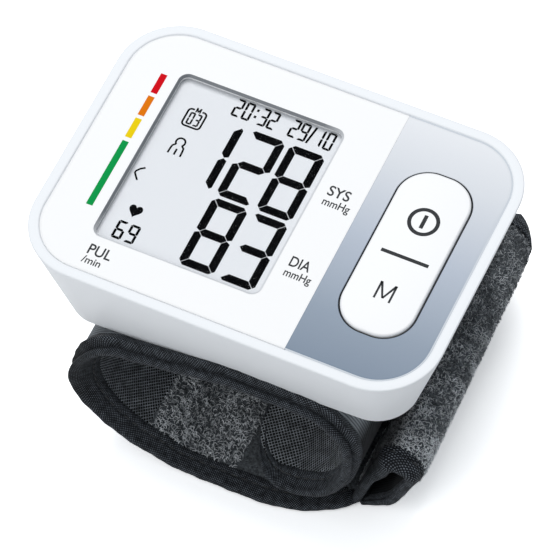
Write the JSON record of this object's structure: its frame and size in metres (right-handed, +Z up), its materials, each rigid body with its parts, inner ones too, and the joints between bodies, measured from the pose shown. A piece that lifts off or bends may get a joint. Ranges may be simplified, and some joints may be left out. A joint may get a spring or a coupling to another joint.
{
  "type": "wrist blood pressure monitor",
  "caption": "Wrist blood pressure monitor: white case with a sunken display and an oval rocker key, on a padded hook-and-loop cuff wound into a wrist loop with its tail folded over.",
  "frame": {"origin": "on the floor, under the middle of the case", "axes": "+X along the case towards the key, +Y towards the back of the case, +Z up out of the display"},
  "size_m": [0.0864, 0.07, 0.058],
  "materials": {
    "white_case": "moulded white ABS with a soft sheen",
    "white_face": "smooth white plastic",
    "grey_panel": "smooth plastic, printed from pale grey at the back to blue grey at the front",
    "clear_window": "clear polished plastic lens",
    "lcd_glass": "pale liquid crystal cell with black segments",
    "zebra_rubber": "striped contact rubber",
    "dark_plastic": "dark moulded plastic",
    "pale_plastic": "pale moulded plastic",
    "board": "green circuit board",
    "steel": "plated steel",
    "cell_can": "labelled metal can",
    "air_tube": "translucent silicone tube",
    "bladder_rubber": "thin flexible bladder",
    "black_nylon": "fine ribbed black nylon",
    "lining_mesh": "dark knitted mesh",
    "grey_velour": "brushed dark grey loop velour",
    "hook_tape": "black hook tape",
    "binding_tape": "black woven edge binding"
  },
  "bodies": {
    "monitor": {"upper_shell": "white_case", "lower_shell": "white_case", "face_plate": "white_face", "control_panel": "grey_panel", "display_window": "clear_window", "lcd_panel": "lcd_glass", "lcd_reflector": "white_face", "zebra_strip_front": "zebra_rubber", "zebra_strip_back": "zebra_rubber", "lcd_frame": "dark_plastic", "circuit_board": "board", "board_screw_1": "steel", "board_screw_2": "steel", "board_screw_3": "steel", "board_screw_4": "steel", "processor_chip": "dark_plastic", "rocker_pivot_pin": "steel", "switch_body_front": "dark_plastic", "switch_body_back": "dark_plastic", "cell_left": "cell_can", "cell_right": "cell_can", "contact_bridge": "steel", "contact_plus": "steel", "contact_minus": "steel", "case_screw_1": "steel", "case_screw_2": "steel", "case_screw_3": "steel", "case_screw_4": "steel", "pump_motor": "steel", "pump_head": "dark_plastic", "pump_tube": "air_tube", "air_manifold": "dark_plastic", "pressure_sensor": "dark_plastic", "cuff_nozzle": "dark_plastic", "release_valve": "dark_plastic", "valve_tube": "air_tube", "cuff_cover": "black_nylon", "curl_sheet": "pale_plastic", "air_bladder": "bladder_rubber", "cuff_lining": "lining_mesh", "strap_velour": "grey_velour", "hook_patch": "hook_tape", "cuff_binding_front": "binding_tape", "cuff_binding_back": "binding_tape"},
    "rocker": {"rocker_key": "white_face"},
    "front_stem": {"switch_stem_front": "pale_plastic"},
    "back_stem": {"switch_stem_back": "pale_plastic"},
    "door": {"battery_door": "white_case"},
    "tail": {"tail_cover": "black_nylon", "tail_velour": "grey_velour", "tail_binding_front": "binding_tape", "tail_binding_back": "binding_tape"},
    "crank": {"pump_crank": "pale_plastic"}
  },
  "joints": [
    {"name": "rocker_tilt", "type": "hinge", "parent": "monitor", "child": "rocker", "pos_m": [0.02775, -0.0007, 0.0537], "axis": [1, 0, 0], "range_deg": [-1.5, 1.5], "stiffness_Nm_per_rad": 0.9},
    {"name": "front_stem_press", "type": "slide", "parent": "monitor", "child": "front_stem", "axis": [0, 0, 1], "range_m": [-0.0004, 0.0004]},
    {"name": "back_stem_press", "type": "slide", "parent": "monitor", "child": "back_stem", "axis": [0, 0, 1], "range_m": [-0.0004, 0.0004]},
    {"name": "door_pull", "type": "slide", "parent": "monitor", "child": "door", "axis": [-1, 0, 0], "range_m": [0, 0.012]},
    {"name": "tail_peel", "type": "hinge", "parent": "monitor", "child": "tail", "pos_m": [0.0255, 0, 0.001], "axis": [0, 1, 0], "range_deg": [0, 30], "stiffness_Nm_per_rad": 0.05},
    {"name": "crank_turn", "type": "hinge", "parent": "monitor", "child": "crank", "pos_m": [0.01372, 0, 0.04657], "axis": [0, 1, 0], "continuous": true}
  ],
  "couplings": [
    {"joint": "front_stem_press", "follows": "rocker_tilt", "m_per_rad": -0.013},
    {"joint": "back_stem_press", "follows": "rocker_tilt", "m_per_rad": 0.013}
  ]
}
